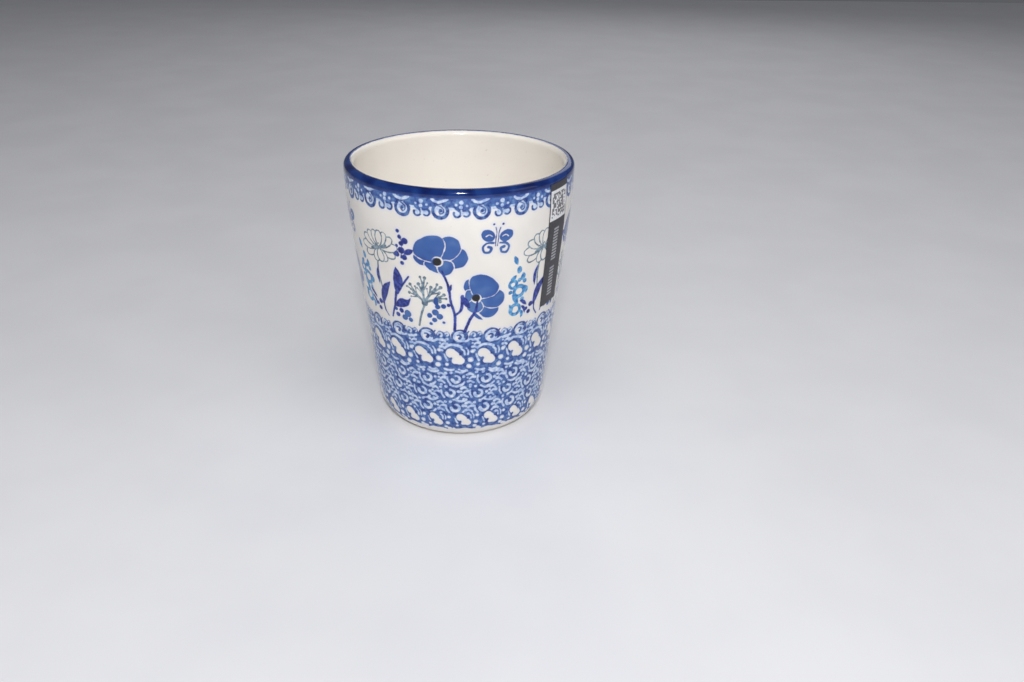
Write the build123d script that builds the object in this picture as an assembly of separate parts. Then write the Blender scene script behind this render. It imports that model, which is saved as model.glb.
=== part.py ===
from build123d import *

import math
import os

# Handleless stoneware mug: a tapered, glazed tumbler with a rounded, cobalt-banded lip.
#
# The clay body is fired once, dipped in clear glaze, and wiped clean on its foot ring.
# Each glaze area is a closed skin on the clay, and the sales label is stuck on the outside.
#
# Frame: millimetres, +Z up, origin at the centre of the face that the foot ring stands on.
# The front of the decoration looks along -Y, and the label is on the front right.

# Driving dimensions, in millimetres and degrees
HEIGHT = 106.0
RIM_RADIUS = 44.0
BASE_RADIUS = 33.5       # where the straight wall would meet the table
WALL_TAPER = 0.112       # growth of the radius for each millimetre of height
WALL = 4.0               # glazed wall thickness
FLOOR_TOP = 7.5          # inside floor above the table
GLAZE = 0.3              # glaze thickness

# Rounded lower wall and foot
BELLY_RADIUS = 14.0
BELLY_ANGLE = 55.0       # how far the lower wall has turned when it meets the foot's edge
FOOT_EDGE_RADIUS = 0.8
FOOT_INNER_RADIUS = 23.5
RECESS_DEPTH = 2.2
RECESS_FILLET = 1.0
INSIDE_FILLET = 9.0
GLAZE_LINE = 1.0         # the foot ring is bare clay below this height

# Cobalt band round the lip
BAND_DEPTH = 3.2
BAND_INNER_RADIUS = 41.4

# Label, pressed on by hand and so a little out of plumb
LABEL_WIDTH = 11.7
LABEL_TOP = 103.8
LABEL_BOTTOM = 54.5
LABEL_AZIMUTH = 56.0     # from the front towards +X
LABEL_TILT = -2.5        # its lower end swings towards +X
LABEL_THICKNESS = 0.15
ADHESIVE_THICKNESS = 0.1

# Sizes that follow from the ones above
TAPER_ANGLE = math.degrees(math.atan(WALL_TAPER))
LIP_RADIUS = WALL / 2
LIP_CENTRE = (RIM_RADIUS - LIP_RADIUS, HEIGHT - LIP_RADIUS)
BAND_BOTTOM = HEIGHT - BAND_DEPTH


def straight_radius(height, depth=0.0):
    """Radius of the straight wall at a height, measured depth below the glazed surface."""
    return BASE_RADIUS + WALL_TAPER * height - depth / math.cos(math.radians(TAPER_ANGLE))


def shoulder_radius():
    """Radius of the long arc that turns the straight wall upright below the lip."""
    alpha = math.radians(TAPER_ANGLE)
    overshoot = straight_radius(LIP_CENTRE[1]) - RIM_RADIUS
    return overshoot / (WALL_TAPER * math.sin(alpha) - (1 - math.cos(alpha)))


def belly_centre():
    """Centre of the arc that turns the straight wall in towards the foot."""
    drop = (BELLY_RADIUS - FOOT_EDGE_RADIUS) * math.sin(math.radians(BELLY_ANGLE))
    height = FOOT_EDGE_RADIUS + drop
    return (straight_radius(height, BELLY_RADIUS), height)


def foot_edge_centre():
    """Centre of the small arc that rounds the foot's outer edge."""
    reach = (BELLY_RADIUS - FOOT_EDGE_RADIUS) * math.cos(math.radians(BELLY_ANGLE))
    return (belly_centre()[0] + reach, FOOT_EDGE_RADIUS)


def outside_arcs(depth):
    """Foot edge, belly and shoulder arcs, depth below the glazed surface."""
    shoulder = shoulder_radius()
    shoulder_centre = (RIM_RADIUS - shoulder, LIP_CENTRE[1])
    foot_edge = CenterArc(foot_edge_centre(), FOOT_EDGE_RADIUS - depth, -90, 90 - BELLY_ANGLE)
    belly = CenterArc(belly_centre(), BELLY_RADIUS - depth, -BELLY_ANGLE, BELLY_ANGLE - TAPER_ANGLE)
    upright = CenterArc(shoulder_centre, shoulder - depth, -TAPER_ANGLE, TAPER_ANGLE)
    return foot_edge, belly, upright


def inside_arcs(depth):
    """Inner shoulder arc and the fillet round the inside floor."""
    shoulder = shoulder_radius()
    shoulder_centre = (RIM_RADIUS - shoulder, LIP_CENTRE[1])
    fillet_height = FLOOR_TOP + INSIDE_FILLET
    fillet_centre = (straight_radius(fillet_height, WALL + INSIDE_FILLET), fillet_height)
    upright = CenterArc(shoulder_centre, shoulder - WALL + depth, 0, -TAPER_ANGLE)
    fillet = CenterArc(fillet_centre, INSIDE_FILLET + depth, -TAPER_ANGLE, TAPER_ANGLE - 90)
    return upright, fillet


def mug_section(depth):
    """Closed half section of the mug, depth below its glazed surface all round."""
    foot_edge, belly, upright = outside_arcs(depth)
    inner_upright, inner_fillet = inside_arcs(depth)
    lip = CenterArc(LIP_CENTRE, LIP_RADIUS - depth, 0, 180)
    recess_centre = (FOOT_INNER_RADIUS - RECESS_FILLET, RECESS_DEPTH - RECESS_FILLET)
    recess_fillet = CenterArc(recess_centre, RECESS_FILLET + depth, 90, -90)
    floor_middle = (0, FLOOR_TOP - depth)
    recess_middle = (0, RECESS_DEPTH + depth)
    foot_inner_edge = (FOOT_INNER_RADIUS + depth, depth)
    edges = [
        foot_edge,
        belly,
        Line(belly @ 1, upright @ 0),
        upright,
        lip,
        inner_upright,
        Line(inner_upright @ 1, inner_fillet @ 0),
        inner_fillet,
        Line(inner_fillet @ 1, floor_middle),
        Line(floor_middle, recess_middle),
        Line(recess_middle, recess_fillet @ 0),
        recess_fillet,
        Line(recess_fillet @ 1, foot_inner_edge),
        Line(foot_inner_edge, foot_edge @ 0),
    ]
    return make_face(edges)


def zone(*corners):
    """Straight-sided region of the half section."""
    return make_face(Polyline(*corners, close=True))


def turned(section):
    """Turn a half section, drawn as radius and height, about the mug's axis."""
    return revolve(Plane.XZ * section, axis=Axis.Z)


def clay_section():
    """Fired clay: the section under the glaze, with the foot ring bare to its full size."""
    below_glaze_line = zone((0, 0), (RIM_RADIUS, 0), (RIM_RADIUS, GLAZE_LINE), (0, GLAZE_LINE))
    return mug_section(GLAZE) + (mug_section(0) & below_glaze_line)


def glaze_zones():
    """Regions that part the glaze into its four areas, by the colour and the place."""
    beyond = RIM_RADIUS + WALL
    above = HEIGHT + WALL
    mid_floor = (RECESS_DEPTH + FLOOR_TOP) / 2
    corner_height = FLOOR_TOP + INSIDE_FILLET / 2
    foot_middle = (FOOT_INNER_RADIUS + foot_edge_centre()[0]) / 2
    inner = zone(
        (0, mid_floor),
        (FOOT_INNER_RADIUS, mid_floor),
        (straight_radius(corner_height, WALL / 2), corner_height),
        (LIP_CENTRE[0], BAND_BOTTOM),
        (BAND_INNER_RADIUS, LIP_CENTRE[1]),
        (BAND_INNER_RADIUS, above),
        (0, above),
    )
    base = zone((0, 0), (foot_middle, 0), (foot_middle, mid_floor), (0, mid_floor))
    rim = zone((0, BAND_BOTTOM), (beyond, BAND_BOTTOM), (beyond, above), (0, above)) - inner
    outer = zone((0, 0), (beyond, 0), (beyond, BAND_BOTTOM), (0, BAND_BOTTOM)) - inner - base
    return {"outer_glaze": outer, "rim_glaze": rim, "liner_glaze": inner, "base_glaze": base}


def wall_layer(under, over):
    """Ring on the outside of the upper wall, between two heights above the glaze."""
    bottom = LABEL_BOTTOM - LABEL_WIDTH
    top = LIP_CENTRE[1]
    sides = []
    for height_above in (under, over):
        upright = outside_arcs(-height_above)[2]
        foot = (straight_radius(bottom, -height_above), bottom)
        sides.append((Line(foot, upright @ 0), upright))
    (near_line, near_arc), (far_line, far_arc) = sides
    edges = [
        near_line,
        near_arc,
        Line((RIM_RADIUS + under, top), (RIM_RADIUS + over, top)),
        far_arc,
        far_line,
        Line(far_line @ 0, near_line @ 0),
    ]
    return turned(make_face(edges))


def label_cutter():
    """Block that cuts the label's tilted rectangle out of a ring on the wall."""
    length = LABEL_TOP - LABEL_BOTTOM
    middle = (LABEL_TOP + LABEL_BOTTOM) / 2
    block = Box(LABEL_WIDTH, RIM_RADIUS, length)
    block = Rot(0, LABEL_TILT, 0) * block
    block = Pos(0, -RIM_RADIUS, middle) * block
    return Rot(0, 0, LABEL_AZIMUTH) * block


def label_layers():
    """Adhesive and printed face of the label."""
    cutter = label_cutter()
    face_outside = ADHESIVE_THICKNESS + LABEL_THICKNESS
    return {
        "label_adhesive": wall_layer(0, ADHESIVE_THICKNESS) & cutter,
        "label_face": wall_layer(ADHESIVE_THICKNESS, face_outside) & cutter,
    }


def build_parts():
    """Every separate piece of the mug, by the name of its node."""
    clay = clay_section()
    glaze = mug_section(0) - clay
    parts = {"stoneware_body": turned(clay)}
    for name, region in glaze_zones().items():
        parts[name] = turned(glaze & region)
    parts.update(label_layers())
    return parts


os.makedirs("parts", exist_ok=True)
for node, shape in build_parts().items():
    export_step(shape, f"parts/{node}.step")
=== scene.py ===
import math
from typing import NamedTuple

import bpy
import numpy as np
from mathutils import Matrix, Vector


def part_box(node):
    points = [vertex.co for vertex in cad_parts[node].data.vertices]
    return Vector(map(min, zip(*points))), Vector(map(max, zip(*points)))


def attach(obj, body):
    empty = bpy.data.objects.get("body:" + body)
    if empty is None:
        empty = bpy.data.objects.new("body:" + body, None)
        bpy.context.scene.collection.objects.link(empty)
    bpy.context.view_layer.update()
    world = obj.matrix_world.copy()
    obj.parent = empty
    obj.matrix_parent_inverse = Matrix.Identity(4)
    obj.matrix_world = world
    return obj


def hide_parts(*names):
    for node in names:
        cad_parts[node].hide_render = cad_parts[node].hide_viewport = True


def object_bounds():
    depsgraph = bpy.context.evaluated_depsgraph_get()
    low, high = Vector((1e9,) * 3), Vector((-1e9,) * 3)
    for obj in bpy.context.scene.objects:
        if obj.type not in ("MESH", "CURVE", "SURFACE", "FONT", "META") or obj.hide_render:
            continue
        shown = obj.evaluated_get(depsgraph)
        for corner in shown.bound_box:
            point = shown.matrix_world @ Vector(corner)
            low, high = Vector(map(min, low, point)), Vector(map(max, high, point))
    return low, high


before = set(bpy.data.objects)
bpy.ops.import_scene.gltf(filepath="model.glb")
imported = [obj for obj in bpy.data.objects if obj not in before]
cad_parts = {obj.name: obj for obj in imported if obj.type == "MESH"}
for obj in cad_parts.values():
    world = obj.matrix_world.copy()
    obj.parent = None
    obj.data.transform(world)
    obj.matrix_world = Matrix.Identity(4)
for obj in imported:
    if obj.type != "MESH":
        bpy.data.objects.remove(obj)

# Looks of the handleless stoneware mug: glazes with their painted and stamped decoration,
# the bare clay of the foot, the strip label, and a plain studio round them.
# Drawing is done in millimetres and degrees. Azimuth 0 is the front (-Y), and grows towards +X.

cad_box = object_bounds()

# ---- Sizes in millimetres: those that the frame gives, then those that it can't ----

MM = 0.001


def node_span(node, axis):
    """Lowest and highest value of a CAD node along one axis, in millimetres."""
    low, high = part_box(node)
    return low[axis] / MM, high[axis] / MM


HEIGHT = cad_box[1][2] / MM
RIM_RADIUS = cad_box[1][0] / MM
BAND_BOTTOM = node_span("rim_glaze", 2)[0]
GLAZE_LINE = node_span("outer_glaze", 2)[0]
GLAZE = HEIGHT - node_span("stoneware_body", 2)[1]
FLOOR_TOP = node_span("liner_glaze", 2)[0] + GLAZE
RECESS_DEPTH = node_span("base_glaze", 2)[1] - GLAZE
FOOT_INNER_RADIUS = node_span("base_glaze", 0)[1] - GLAZE
BAND_INNER_RADIUS = node_span("liner_glaze", 0)[1]

BASE_RADIUS = 33.5
WALL_TAPER = 0.112
WALL = 4.0
BELLY_RADIUS = 14.0
BELLY_ANGLE = 55.0
FOOT_EDGE_RADIUS = 0.8
INSIDE_FILLET = 9.0
RECESS_FILLET = 1.0
LIP_RADIUS = WALL / 2
LIP_HEIGHT = HEIGHT - LIP_RADIUS
TAPER_ANGLE = math.degrees(math.atan(WALL_TAPER))

COLUMNS = 900            # facets round the decorated glaze
COARSE = 6               # fine facets to one hidden facet
ROW_STEP = 0.28

# ---- Profile of the mug: lists of (radius, height) ----


def arc(centre, radius, start, sweep, step=0.05):
    """Points along an arc, from the start angle through the sweep, in degrees."""
    count = max(3, int(abs(math.radians(sweep)) * radius / step))
    angles = np.radians(np.linspace(start, start + sweep, count))
    return np.stack([centre[0] + radius * np.cos(angles), centre[1] + radius * np.sin(angles)], 1)


def straight_radius(height, depth=0.0):
    """Radius of the straight wall at a height, depth below the glazed surface."""
    return BASE_RADIUS + WALL_TAPER * height - depth / math.cos(math.radians(TAPER_ANGLE))


def shoulder():
    """Centre and radius of the long arc that turns the wall upright below the lip."""
    alpha = math.radians(TAPER_ANGLE)
    overshoot = straight_radius(LIP_HEIGHT) - RIM_RADIUS
    radius = overshoot / (WALL_TAPER * math.sin(alpha) - (1 - math.cos(alpha)))
    return (RIM_RADIUS - radius, LIP_HEIGHT), radius


def outside_profile(depth=0.0):
    """Outside of the mug from the foot ring up to the lip's outer edge."""
    reach = BELLY_RADIUS - FOOT_EDGE_RADIUS
    belly_height = FOOT_EDGE_RADIUS + reach * math.sin(math.radians(BELLY_ANGLE))
    belly_centre = (straight_radius(belly_height, BELLY_RADIUS), belly_height)
    edge_centre = (belly_centre[0] + reach * math.cos(math.radians(BELLY_ANGLE)), FOOT_EDGE_RADIUS)
    centre, radius = shoulder()
    return np.concatenate([
        arc(edge_centre, FOOT_EDGE_RADIUS - depth, -90, 90 - BELLY_ANGLE),
        arc(belly_centre, BELLY_RADIUS - depth, -BELLY_ANGLE, BELLY_ANGLE - TAPER_ANGLE),
        arc(centre, radius - depth, -TAPER_ANGLE, TAPER_ANGLE),
    ])


def lip_profile(depth=0.0):
    """Round lip, from its outer edge over the crest to its inner edge."""
    return arc((RIM_RADIUS - LIP_RADIUS, LIP_HEIGHT), LIP_RADIUS - depth, 0, 180)


def inside_profile(depth=0.0):
    """Inside of the mug from the lip's inner edge down to the middle of the floor."""
    centre, radius = shoulder()
    fillet_height = FLOOR_TOP + INSIDE_FILLET
    fillet_centre = (straight_radius(fillet_height, WALL + INSIDE_FILLET), fillet_height)
    return np.concatenate([
        arc(centre, radius - WALL + depth, 0, -TAPER_ANGLE),
        arc(fillet_centre, INSIDE_FILLET + depth, -TAPER_ANGLE, TAPER_ANGLE - 90),
        [(0.0, FLOOR_TOP - depth)],
    ])


def recess_profile(depth=0.0):
    """Shallow recess under the floor, from its middle out to the foot ring."""
    centre = (FOOT_INNER_RADIUS - RECESS_FILLET, RECESS_DEPTH - RECESS_FILLET)
    return np.concatenate([
        [(0.0, RECESS_DEPTH + depth)],
        arc(centre, RECESS_FILLET + depth, 90, -90),
    ])


def path_lengths(points):
    """Distance along a path to each of its points."""
    steps = np.hypot(*np.diff(points, axis=0).T)
    return np.concatenate([[0.0], np.cumsum(steps)])


def resample(points, step):
    """The same path with evenly spaced points."""
    lengths = path_lengths(points)
    count = max(2, int(round(lengths[-1] / step)) + 1)
    even = np.linspace(0, lengths[-1], count)
    return np.stack([np.interp(even, lengths, points[:, k]) for k in (0, 1)], 1)


# ---- Canvas: how far each point of the decorated glaze lies inside each pigment ----

FAR = 2.0                # distances from a pigment's edge are kept up to this one
LEAF_END = 0.02          # share of a leaf stroke's length that is blunt at each end
LEAF_POWER = 0.8         # how fast the stroke swells; less is faster
PIGMENTS = ("wash", "ground", "line", "petal", "leaf", "turquoise", "grey", "black", "band")
BLUE = ("ground", "line")
BLUE_AND_WASH = BLUE + ("wash",)


def smooth(points, closed=False, steps=9):
    """Catmull-Rom curve through the points."""
    points = np.asarray(points, float)
    if closed:
        padded = np.concatenate([points[-1:], points, points[:2]])
    else:
        padded = np.concatenate([2 * points[:1] - points[1:2], points, 2 * points[-1:] - points[-2:-1]])
    t = np.linspace(0, 1, steps, endpoint=False)[:, None]
    pieces = []
    for a, b, c, d in zip(padded, padded[1:], padded[2:], padded[3:]):
        pieces.append(0.5 * (2 * b + (c - a) * t + (2 * a - 5 * b + 4 * c - d) * t**2
                             + (3 * b - a - 3 * c + d) * t**3))
    if not closed:
        pieces.append(points[-1:])
    return np.concatenate(pieces)


def round_arc(centre, radius, start, sweep):
    """Motif points along an arc."""
    return arc(centre, radius, start, sweep, step=radius * 0.25)


def segment_reach(x, y, start, end):
    """Share along a segment and distance from it, for each point."""
    along = end - start
    share = ((x - start[0]) * along[0] + (y - start[1]) * along[1]) / max(float(along @ along), 1e-9)
    share = np.clip(share, 0, 1)
    return share, np.hypot(x - start[0] - share * along[0], y - start[1] - share * along[1])


def stroke_distance(x, y, points, halves):
    """Distance inside a brush stroke whose half width varies along its points; outside, negative."""
    best = np.full(x.shape, -FAR)
    for start, end, half, next_half in zip(points, points[1:], halves, halves[1:]):
        share, gap = segment_reach(x, y, start, end)
        best = np.maximum(best, half + (next_half - half) * share - gap)
    return best


def area_distance(x, y, points):
    """Distance inside a closed outline; outside, negative."""
    nearest = np.full(x.shape, FAR)
    inside = np.zeros(x.shape, bool)
    for start, end in zip(points, np.roll(points, -1, axis=0)):
        nearest = np.minimum(nearest, segment_reach(x, y, start, end)[1])
        if start[1] != end[1]:
            crossing = start[0] + (end[0] - start[0]) * (y - start[1]) / (end[1] - start[1])
            inside ^= ((start[1] > y) != (end[1] > y)) & (x < crossing)
    return np.where(inside, nearest, -nearest)


class Canvas:
    """The decorated glaze, unrolled: rows up the profile, columns round the mug."""

    def __init__(self, profile, columns):
        self.radii = profile[:, 0]
        self.heights = profile[:, 1]
        self.columns = columns
        self.wall_rows = int(np.argmax(self.heights >= LIP_HEIGHT))
        self.layers = {name: np.full((len(profile), columns), -FAR) for name in PIGMENTS}

    def belt(self, layer, low, high):
        """Belt round the wall between two heights, each a number or one for each column."""
        heights = self.heights[:self.wall_rows, None]
        distance = np.minimum(heights - low, high - heights)
        wall = self.layers[layer][:self.wall_rows]
        wall[:] = np.maximum(wall, np.clip(distance, -FAR, FAR))


class Pen(NamedTuple):
    """A motif's place on the canvas, and how the motif is turned, sized and mirrored there."""
    canvas: Canvas
    azimuth: float
    height: float
    turn: float = 0.0
    size: float = 1.0
    mirror: float = 1.0

    def on_wall(self, points):
        """Motif points as millimetres along and up the wall from the place."""
        points = np.asarray(points, float).reshape(-1, 2) * (self.mirror, 1.0) * self.size
        cos, sin = math.cos(math.radians(self.turn)), math.sin(math.radians(self.turn))
        return points @ np.array([[cos, sin], [-sin, cos]])

    def fill(self, layer, points, margin, distance, cleared):
        """Add a shape round some wall points to one pigment, and clear it out of others."""
        canvas = self.canvas
        low = points.min(0) - margin
        high = points.max(0) + margin
        heights = canvas.heights[:canvas.wall_rows]
        rows = np.nonzero((heights >= self.height + low[1]) & (heights <= self.height + high[1]))[0]
        if len(rows) == 0:
            return
        radii = canvas.radii[rows][:, None]
        step = 360 / canvas.columns
        first, last = self.azimuth + np.degrees(np.array([low[0], high[0]]) / radii.mean())
        columns = np.arange(math.floor(first / step), math.ceil(last / step) + 1)
        x = np.radians(columns * step - self.azimuth)[None, :] * radii
        y = np.repeat(heights[rows][:, None] - self.height, len(columns), 1)
        inside = distance(x, y)
        where = np.ix_(rows, columns % canvas.columns)
        if layer:
            canvas.layers[layer][where] = np.maximum(canvas.layers[layer][where], inside)
        for name in cleared:
            canvas.layers[name][where] = np.minimum(canvas.layers[name][where], -inside)

    def trail(self, layer, points, width, ends=(1.0, 1.0), cleared=(), leaf=False):
        """Brush stroke straight from one motif point to the next. A leaf swells in its middle."""
        points = self.on_wall(points)
        share = path_lengths(points)
        share = share / share[-1]
        halves = width / 2 * self.size * (ends[0] + (ends[1] - ends[0]) * share)
        if leaf:
            swell = np.sin(np.pi * np.clip(share, LEAF_END, 1 - LEAF_END)) ** LEAF_POWER
            halves = width / 2 * self.size * swell
        margin = width * self.size / 2 + FAR
        self.fill(layer, points, margin, lambda x, y: stroke_distance(x, y, points, halves), cleared)

    def stroke(self, layer, points, width, ends=(1.0, 1.0), cleared=()):
        """Brush stroke on a smooth curve through motif points."""
        self.trail(layer, smooth(points), width, ends, cleared)

    def pale(self, points, width, ends=(0.8, 1.0)):
        """Pale stroke reserved in the blue ground."""
        self.stroke("wash", points, width, ends, cleared=BLUE)

    def leaves(self, layer, *leaves):
        """Leaf-shaped strokes, each given as its width and then its points."""
        for width, *points in leaves:
            self.trail(layer, smooth(points), width, leaf=True)

    def area(self, layer, points, cleared=(), grow=0.0):
        """Filled shape with a smooth closed outline through motif points, grown by a margin."""
        points = self.on_wall(smooth(points, closed=True))
        self.fill(layer, points, FAR, lambda x, y: area_distance(x, y, points) + grow, cleared)

    def dots(self, layer, *dots, cleared=()):
        """Round dabs of the brush, each given as x, y and radius."""
        for x, y, radius in dots:
            self.trail(layer, [(x, y), (x + 0.05, y)], radius * 2, cleared=cleared)

    def pale_dots(self, *dots):
        """Pale dabs reserved in the blue ground."""
        self.dots("wash", *dots, cleared=BLUE)

    def white_dots(self, *dots):
        """White dabs left in the pale wash."""
        self.dots(None, *dots, cleared=("wash",))


# ---- Stamped borders ----

TOP_SCROLLS = 19
LOW_STAMPS = 20
TOP_SCROLL_HEIGHT = 98.6
LOW_SCROLL_HEIGHT = 48.2
BEAN_HEIGHT = 39.4
CURL_ROWS = ((29.2, -3.0), (22.4, -7.2), (15.8, -4.0))    # height, and azimuth of the first curl
FOOT_BEAN_HEIGHT = 9.7
BLUE_BOTTOM = 5.1
AZIMUTH_SPREAD = 0.35    # how far hand-set motifs stray from their places
TILT_SPREAD = 4.0
SIZE_SPREAD = 0.03


def stamped(canvas, count, height, first, dice, wander=0.25, size=1.0):
    """Pens at the places of a stamp that is pressed by hand round the wall."""
    pens = []
    for k in range(count):
        azimuth = first + 360 / count * k + dice.normal(0, AZIMUTH_SPREAD)
        lift = height + dice.normal(0, wander)
        tilt = dice.normal(0, TILT_SPREAD)
        pens.append(Pen(canvas, azimuth, lift, tilt, size * dice.normal(1, SIZE_SPREAD)))
    return pens


def scroll(pen):
    """Round scroll that hangs from a border: an open ring that winds in to a small whorl."""
    pen.pale_dots((0, 0, 2.7))
    pen.white_dots((-0.9, -1, 0.7))
    pen.trail("line", round_arc((0, 0), 2.6, 60, -285), 1.2, (1.1, 0.9))
    whorl = [(-1.2, 2.2), (0.1, 1.55), (1.15, 0.6), (1, -0.7), (0, -1), (-0.6, -0.2)]
    pen.stroke("line", whorl, 0.62, (0.9, 0.7))
    pen.dots("line", (0.1, 0.15, 0.62))


def twin_curls(pen):
    """Two small hooks between the scrolls, under blue ground with pale dabs."""
    mound = [(-2.8, 4.4), (3.2, 4.4), (3, 1.2), (1.5, -0.1), (-1, 0), (-2.5, 1.4)]
    pen.dots("wash", (-1.4, -1, 1.2), (1.7, -0.9, 1.2))
    pen.area("ground", mound)
    pen.trail("line", round_arc((-1.4, -0.9), 1.2, 160, 250), 0.8, (1.1, 0.8))
    pen.trail("line", round_arc((1.8, -0.8), 1.15, 100, -235), 0.8, (1.1, 0.8))
    pen.pale_dots((0.1, 3.2, 0.75), (-0.1, 1.5, 0.65), (2, 2, 0.45), (-1.8, 2.3, 0.45))
    pen.pale([(0, 0.4), (0.2, -0.5), (0.1, -1.4)], 0.6)


def top_border(canvas, dice):
    """Scroll border that hangs from the cobalt band."""
    pitch = 360 / TOP_SCROLLS
    canvas.belt("wash", TOP_SCROLL_HEIGHT + 0.2, HEIGHT)
    canvas.belt("ground", TOP_SCROLL_HEIGHT + 1.2, HEIGHT)
    for pen in stamped(canvas, TOP_SCROLLS, TOP_SCROLL_HEIGHT, -8.5, dice):
        twin_curls(pen._replace(azimuth=pen.azimuth + pitch / 2 + dice.normal(0, 0.4)))
        scroll(pen)
        pen.pale([(-2.9, 4.3), (-1.9, 3.5), (-0.4, 3.2), (1.3, 3.6), (2.5, 4.3)], 1.15)
        pen.stroke("line", [(-2.4, 2.9), (-0.4, 2.4), (1.8, 3)], 0.5)


def rising_scroll(pen):
    """Scroll of the lower border: a pale whorl round a dark comma, ringed in blue."""
    pen.dots("line", (0, 0, 3.3))
    pen.pale_dots((0, 0, 2.45))
    pen.white_dots((-0.7, -0.6, 1))
    pen.stroke("line", [(-0.9, 0.6), (-0.1, 0.7), (0.5, 0), (0, -0.7)], 0.95, (0.6, 1.2))
    pen.pale([(0.6, -2), (2.4, -1.9), (3.8, -0.9), (4.3, 0.4)], 1)
    pen.stroke("line", [(-0.2, 1.9), (1.4, 1.5), (2.3, 0.2), (2.6, -1)], 0.6, (0.5, 1.2))


def paired_hooks(pen):
    """Two small pale hooks of unlike size on a blue mound, between two rising scrolls."""
    mound = [(-2.3, -1.4), (-2.4, 0.6), (-1.2, 2), (0.4, 1.4), (1.6, 1.9), (2.5, 0.7), (2.4, -1.4)]
    pen.area("ground", mound)
    pen.trail("wash", round_arc((-1.1, 0.4), 0.8, -60, 250), 0.75, (1, 0.7), cleared=BLUE)
    pen.trail("wash", round_arc((1.4, 0.7), 0.6, 150, -230), 0.65, (1, 0.7), cleared=BLUE)
    pen.pale([(-2, -1.6), (-0.3, -1.9), (1.5, -1.3)], 0.9)
    pen.stroke("line", [(-4.2, -0.6), (-3.6, 0.8), (-2.8, 1.9)], 0.9, (1.2, 0.7))


def commas(pen):
    """Stack of short pale commas, leaning both ways, with two dots beside them."""
    pen.pale([(-1.4, 2.4), (-0.2, 2.8), (1, 1.9)], 1.3, (1, 0.6))
    pen.pale([(1.6, 0.8), (0.4, 0.9), (-0.7, 0.2)], 1.2, (1.1, 0.6))
    pen.pale([(-1.5, -1), (-0.3, -1), (0.9, -1.9)], 1.3, (1, 0.6))
    pen.pale_dots((-1.5, 0.9, 0.5), (-0.6, -2.9, 0.6))


def bean(pen):
    """White two-lobed reserve with a dark edge, and the pale dabs beside it."""
    body = [(-1.8, 1.8), (-0.2, 0.3), (1.5, -1.7)]
    heel = [(-0.6, -1.9), (2, -2.1)]
    pen.stroke("line", body, 5.6, (1, 1.05))
    pen.trail("line", heel, 4.4)
    pen.stroke(None, body, 3.9, (1.05, 0.9), cleared=BLUE_AND_WASH)
    pen.trail(None, heel, 2.3, cleared=BLUE_AND_WASH)
    pen.dots("line", (1.7, 1.2, 0.55), (-1.9, -0.6, 0.55))
    dabs = ((5.5, -1.4, 1.15), (4.7, -4.2, 1.05), (6.3, 2.4, 0.85), (-3.6, -3.3, 0.7))
    pen.pale_dots(*dabs)
    pen.white_dots(*[(x, y - 0.1, radius * 0.6) for x, y, radius in dabs])
    pen.pale([(2.1, 3.7), (3.2, 2.6), (3.3, 1)], 0.85)
    pen.pale([(4.1, 3.9), (4.7, 2.5), (4.6, 1)], 0.75)
    pen.pale([(-4.4, 1.3), (-3.9, -0.4), (-3.4, -1.6)], 0.8)


def curl(pen, dice):
    """One cell of the curl ground: a pale open curl, smiles and dabs round it, and commas beside."""
    pen.trail("line", round_arc((0, 0), 2.75, 170, -350), 0.95)
    pen.dots("line", (-0.3, 0.4, 1))
    pen.trail("wash", round_arc((0, 0), 1.6, 88, -262), 1.5, (0.65, 1.05), cleared=BLUE)
    pen.white_dots((0.5, -1.45, 0.5))
    pen.pale([(0.4, 3.9), (1.6, 3.3), (3.1, 3.2), (4.6, 3.9)], 1.2)
    pen.stroke("line", [(0.2, 2.8), (2, 2.2), (4.4, 2.6)], 0.6)
    pen.pale([(-3.7, 1.3), (-3.5, -0.6), (-2.6, -2.1)], 0.95)
    pen.pale([(0.9, -3.3), (2.3, -2.9), (3.3, -1.8)], 0.85)
    pen.stroke("line", [(-4.6, -2.6), (-3.6, -3.4), (-2, -3.9)], 0.7)
    for x, y, radius in ((3.3, 0.8, 0.7), (-1.7, 3.3, 0.65), (-4, 3, 0.6)):
        x, y = np.add((x, y), dice.normal(0, 0.15, 2))
        pen.pale_dots((x, y, radius))
    commas(pen._replace(azimuth=pen.azimuth + 9))


def fringe(canvas):
    """Height of the blue ground's lower edge in each column, uneven as the stamps leave it."""
    turn = np.radians(np.arange(canvas.columns) * 360 / canvas.columns)
    return BLUE_BOTTOM + 0.4 * np.sin(turn * LOW_STAMPS + 1.2) + 0.18 * np.sin(turn * 47)


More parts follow.
